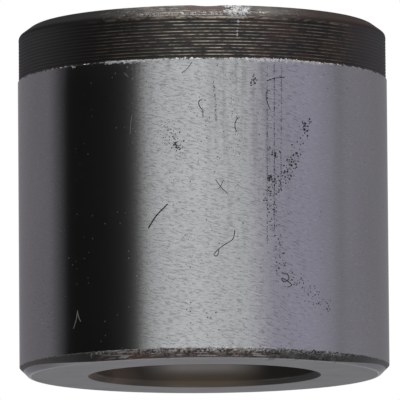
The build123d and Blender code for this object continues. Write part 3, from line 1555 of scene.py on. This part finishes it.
def fibre_tree() -> bpy.types.NodeTree:
    """The tree that gives a route a smooth round body.

    Returns:
        The geometry tree. It starts from a mesh of edges.
    """
    t = GeometryTree(
        "surface_fibre",
        {"Thickness": float, "Steps": int, "Seed": int, "Finish": bpy.types.Material},
    )
    route = t.node("GeometryNodeMeshToCurve")
    t.feed(route.inputs["Mesh"], t.given("Geometry"))
    smooth = t.node("GeometryNodeCurveSplineType", spline_type="CATMULL_ROM")
    t.feed(smooth.inputs["Curve"], route.outputs[0])
    even = t.node("GeometryNodeResampleCurve", mode="COUNT")
    t.feed(even.inputs["Curve"], smooth.outputs[0])
    t.feed(even.inputs["Count"], t.given("Steps"))
    ring = t.node("GeometryNodeCurvePrimitiveCircle", mode="RADIUS")
    ring.inputs["Resolution"].default_value = 6
    t.feed(ring.inputs["Radius"], t.math("MULTIPLY", t.given("Thickness"), 0.5))
    body = t.node("GeometryNodeCurveToMesh")
    t.feed(body.inputs["Curve"], even.outputs[0])
    t.feed(body.inputs["Profile Curve"], ring.outputs[0])
    t.feed(body.inputs["Scale"], t.chance(0.868, 1.426, 1))
    body.inputs["Fill Caps"].default_value = True
    shade = t.node("GeometryNodeSetShadeSmooth")
    t.feed(shade.inputs["Geometry"], body.outputs[0])
    return t.end(shade.outputs[0])


class Fibres:
    """Dust fibres and short scratches that lie on the ground land."""

    ROUTES = (
        Fibre(
            "fibre_hook",
            Strand.DARK,
            0.045,
            (
                (-0.1, 13.78), (-0.9, 13.74), (-1.2, 13.58), (-0.7, 13.38), (0.0, 13.2),
                (0.1, 12.82),
            ),
        ),
        Fibre("fibre_arc", Strand.DARK, 0.040, ((10.8, 12.84), (9.9, 12.48), (10.3, 12.05))),
        Fibre("fibre_cross", Strand.DARK, 0.045, ((20.4, 14.86), (22.6, 15.0), (26.0, 15.08))),
        Fibre(
            "fibre_bow",
            Strand.DARK,
            0.035,
            (
                (21.2, 14.35), (20.3, 14.3), (19.8, 14.1), (20.2, 13.72), (21.1, 13.3),
            ),
        ),
        Fibre("fibre_fork_long", Strand.DARK, 0.035, ((3.8, 9.5), (5.3, 9.12), (7.5, 8.74))),
        Fibre("fibre_fork_short", Strand.DARK, 0.032, ((4.4, 9.0), (5.3, 9.12), (6.0, 9.4))),
        Fibre(
            "fibre_slant",
            Strand.DARK,
            0.062,
            (
                (-10.9, 8.22), (-13.5, 7.8), (-15.1, 7.48), (-17.1, 6.95),
            ),
        ),
        Fibre(
            "fibre_tail",
            Strand.DARK,
            0.042,
            (
                (9.6, 6.8), (9.0, 6.32), (6.4, 6.0), (4.9, 5.82), (3.9, 5.66),
                (3.1, 5.45), (4.2, 5.42), (4.7, 5.78),
            ),
        ),
        Fibre(
            "fibre_curl",
            Strand.DARK,
            0.042,
            (
                (24.5, 4.57), (26.4, 4.5), (26.9, 4.26), (25.2, 4.08), (24.5, 4.28),
                (25.8, 4.2), (27.9, 3.95), (26.6, 3.82),
            ),
        ),
        Fibre("fibre_top", Strand.DARK, 0.030, ((-3.1, 15.82), (-4.4, 15.5), (-6.3, 15.23))),
        Fibre("sliver_low", Strand.LIGHT, 0.035, ((-44.3, 1.87), (-43.0, 2.39), (-42.5, 2.82))),
        Fibre("sliver_low_branch", Strand.LIGHT, 0.030, ((-42.5, 2.71), (-41.9, 2.4), (-41.3, 2.21))),
        Fibre("sliver_top", Strand.LIGHT, 0.028, ((-24.7, 15.38), (-24.0, 15.25), (-23.3, 15.15))),
        Fibre("sliver_side", Strand.LIGHT, 0.026, ((-22.1, 13.09), (-22.6, 12.6), (-22.8, 12.07))),
        Fibre("sliver_foot", Strand.LIGHT, 0.050, ((-38.3, 0.24), (-37.8, 0.36), (-37.2, 0.44))),
    )

    def __init__(self, sizes: SleeveSizes, finishes: dict[Strand, bpy.types.Material]) -> None:
        """Keeps what the fibres lie on and what they are made of.

        Args:
            sizes: The sleeve's sizes.
            finishes: A material for each kind of strand.
        """
        self.sizes = sizes
        self.finishes = finishes

    def build(self) -> list[bpy.types.Object]:
        """Lays every fibre.

        Returns:
            One piece for each.
        """
        tree = fibre_tree()
        return [self.lay(fibre, tree, seed) for seed, fibre in enumerate(self.ROUTES)]

    def lay(self, fibre: Fibre, tree: bpy.types.NodeTree, seed: int) -> bpy.types.Object:
        """Lays one fibre on the surface.

        Args:
            fibre: Its route and thickness.
            tree: The fibre tree.
            seed: Seed of its uneven thickness.

        Returns:
            The piece.
        """
        mesh = bpy.data.meshes.new("route")
        places = [on_outside(azimuth, height, self.radius_at(height)) for azimuth, height in fibre.route]
        mesh.from_pydata(places, [(at, at + 1) for at in range(len(places) - 1)], [])
        values = {
            "Thickness": fibre.thickness * MM,
            "Steps": 8 * len(places),
            "Seed": seed,
            "Finish": self.finishes[fibre.strand],
        }
        LOG.info("%s: %s, %d points", fibre.name, fibre.strand.value, len(places))
        return grown(fibre.name, placed("route", mesh), tree, values)

    def radius_at(self, height: float) -> float:
        """Radius of the land, or of the foot's chamfer, at a height."""
        return self.sizes.ground_radius - max(self.sizes.foot_chamfer - height, 0.0)


# ---------------------------------------------------------------------------
# Studio
# ---------------------------------------------------------------------------


@dataclass(frozen=True)
class Panel:
    """A stop of the studio's surround: its azimuth in degrees and its colour."""

    azimuth: float
    colour: Colour


@dataclass
class Studio:
    """A soft surround of panels, a pale floor and the camera."""

    centre: Vector
    floor_size: float = 1.6
    floor_gap: float = 0.00003
    camera_distance: float = 0.6
    camera_elevation: float = -6.7
    camera_roll: float = -0.44
    view_width_mm: float = 21.6567  # what the picture spans at the sleeve's middle
    sensor_mm: float = 36.0
    aim_right_mm: float = -0.174
    aim_up_mm: float = 0.072
    overhead: Colour = grey(1.2)
    nadir: Colour = grey(0.34)
    panels: tuple[Panel, ...] = (
        Panel(-180.0, (0.36, 0.355, 0.37, 1.0)),
        Panel(-164.0, (0.205, 0.195, 0.21, 1.0)),
        Panel(-112.0, (0.175, 0.165, 0.18, 1.0)),
        Panel(-94.0, grey(0.005)),
        Panel(-62.0, grey(0.004)),
        Panel(-50.0, grey(0.012)),
        Panel(-43.5, grey(0.045)),
        Panel(-40.0, grey(0.15)),
        Panel(-36.0, grey(0.42)),
        Panel(-27.0, grey(0.64, -0.01)),
        Panel(-5.0, grey(0.74, -0.01)),
        Panel(26.0, grey(0.63, -0.02)),
        Panel(36.0, (0.485, 0.465, 0.515, 1.0)),
        Panel(44.0, (0.385, 0.370, 0.440, 1.0)),
        Panel(70.0, (0.365, 0.350, 0.425, 1.0)),
        Panel(87.0, (0.290, 0.280, 0.330, 1.0)),
        Panel(95.0, (0.225, 0.220, 0.245, 1.0)),
        Panel(102.0, (0.270, 0.260, 0.290, 1.0)),
        Panel(140.0, (0.220, 0.212, 0.232, 1.0)),
        Panel(166.0, (0.220, 0.212, 0.232, 1.0)),
        Panel(180.0, (0.36, 0.355, 0.37, 1.0)),
    )

    def light(self) -> None:
        """Builds the surround that lights the sleeve and shows in it."""
        world = bpy.data.worlds.new("studio")
        world.use_nodes = True
        bpy.context.scene.world = world
        w = Shading(world.node_tree)
        x, y, z = w.split(w.node("ShaderNodeTexCoord").outputs["Generated"])
        turn = w.math("ARCTAN2", x, w.math("MULTIPLY", y, -1.0))
        share = w.math("ADD", w.math("DIVIDE", turn, math.tau), 0.5)
        ramp = w.node("ShaderNodeValToRGB")
        stops = ramp.color_ramp.elements
        while len(stops) > 1:
            stops.remove(stops[-1])
        for at, panel in enumerate(self.panels):
            position = (panel.azimuth + 180.0) / 360.0
            stop = stops[0] if at == 0 else stops.new(position)
            stop.position = position
            stop.color = panel.colour
        w.feed(ramp.inputs[0], share)
        surround = w.tint(w.rise(z, 0.55, 0.80), ramp.outputs[0], self.overhead)
        surround = w.tint(w.rise(z, -0.45, -0.75), surround, self.nadir)
        lit = w.node("ShaderNodeBackground")
        w.feed(lit.inputs["Color"], surround)
        seen = w.node("ShaderNodeBackground")
        w.feed(seen.inputs["Color"], grey(1.0))
        choose = w.node("ShaderNodeMixShader")
        w.feed(choose.inputs[0], w.node("ShaderNodeLightPath").outputs["Is Camera Ray"])
        w.feed(choose.inputs[1], lit.outputs[0])
        w.feed(choose.inputs[2], seen.outputs[0])
        output = w.node("ShaderNodeOutputWorld")
        w.feed(output.inputs["Surface"], choose.outputs[0])
        bpy.context.scene.view_settings.view_transform = "Standard"

    def lay_floor(self) -> bpy.types.Object:
        """Lays the pale floor. It shows from above only, so that the sleeve's foot stays open to view.

        Returns:
            The floor.
        """
        half = self.floor_size / 2
        mesh = bpy.data.meshes.new("studio_floor")
        corners = [(-half, -half), (half, -half), (half, half), (-half, half)]
        mesh.from_pydata([(x, y, -self.floor_gap) for x, y in corners], [], [(0, 1, 2, 3)])
        floor = placed("studio_floor", mesh)
        material, w = new_material("floor_paper", grey(0.85))
        here = w.here()
        fibre = w.noise(w.stretched(here, 0.8, 0.8), detail=3.0)
        paper = w.node("ShaderNodeBsdfPrincipled")
        w.feed(paper.inputs["Base Color"], w.tint(fibre, grey(0.80), grey(0.84)))
        paper.inputs["Roughness"].default_value = 0.9
        clear = w.node("ShaderNodeBsdfTransparent")
        choose = w.node("ShaderNodeMixShader")
        w.feed(choose.inputs[0], w.node("ShaderNodeNewGeometry").outputs["Backfacing"])
        w.feed(choose.inputs[1], paper.outputs[0])
        w.feed(choose.inputs[2], clear.outputs[0])
        output = w.node("ShaderNodeOutputMaterial")
        w.feed(output.inputs["Surface"], choose.outputs[0])
        mesh.materials.append(material)
        floor.visible_diffuse = False
        floor.visible_glossy = False
        floor.visible_transmission = False
        floor.visible_shadow = False
        return floor

    def set_camera(self) -> bpy.types.Object:
        """Places the camera in front of the sleeve and a little below it.

        Returns:
            The scene's camera.
        """
        data = bpy.data.cameras.new("camera")
        data.sensor_width = self.sensor_mm
        data.lens = self.sensor_mm * self.camera_distance * PER_METRE / self.view_width_mm
        data.clip_start, data.clip_end = 0.01, 10.0
        camera = placed("camera", data)
        lift = math.radians(self.camera_elevation)
        right, up = Vector((1.0, 0.0, 0.0)), Vector((0.0, math.sin(lift), math.cos(lift)))
        aim = self.centre + (right * self.aim_right_mm + up * self.aim_up_mm) * MM
        back = Vector((0.0, -math.cos(lift), math.sin(lift)))
        turn = Matrix((right, up, back)).transposed()
        roll = Matrix.Rotation(math.radians(self.camera_roll), 3, "Z")
        camera.matrix_world = Matrix.Translation(aim + back * self.camera_distance) @ (turn @ roll).to_4x4()
        bpy.context.scene.camera = camera
        return camera


# ---------------------------------------------------------------------------
# Assembly
# ---------------------------------------------------------------------------


def main() -> None:
    """Builds the sleeve, dresses it and sets the studio round it."""
    logging.basicConfig(level=logging.INFO, format="%(name)s %(message)s")
    sizes = SleeveSizes.from_frame()
    shell = SleeveShell(sizes).build(
        face=FacedFinish(sizes).build(),
        outside=OutsideFinish(sizes).build(),
        bore=BoreFinish(sizes).build(),
    )
    burr = GrainFinish("raw_metal", (0.86, 0.85, 0.84, 1.0), grey(0.55), 1.0, 0.32).build()
    dirt = GrainFinish("pit_dirt", (0.035, 0.032, 0.030, 1.0), grey(0.012), 0.0, 0.6).build()
    dust = GrainFinish("fibre_dark", (0.030, 0.028, 0.028, 1.0), grey(0.010), 0.0, 0.5).build()
    scratch = GrainFinish("scratch_light", (0.34, 0.34, 0.35, 1.0), grey(0.22), 0.6, 0.4).build()
    scatter = scatter_tree()
    details = Burrs().build(shell, scatter, burr)
    details += Dirt().build(shell, scatter, dirt)
    details += Fibres(sizes, {Strand.DARK: dust, Strand.LIGHT: scratch}).build()
    for piece in [shell, *details]:
        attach(piece, BODY)
    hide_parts(NODE)

    low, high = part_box(NODE)
    studio = Studio(centre=(low + high) / 2)
    studio.light()
    studio.lay_floor()
    studio.set_camera()


if __name__ == "__main__":
    main()
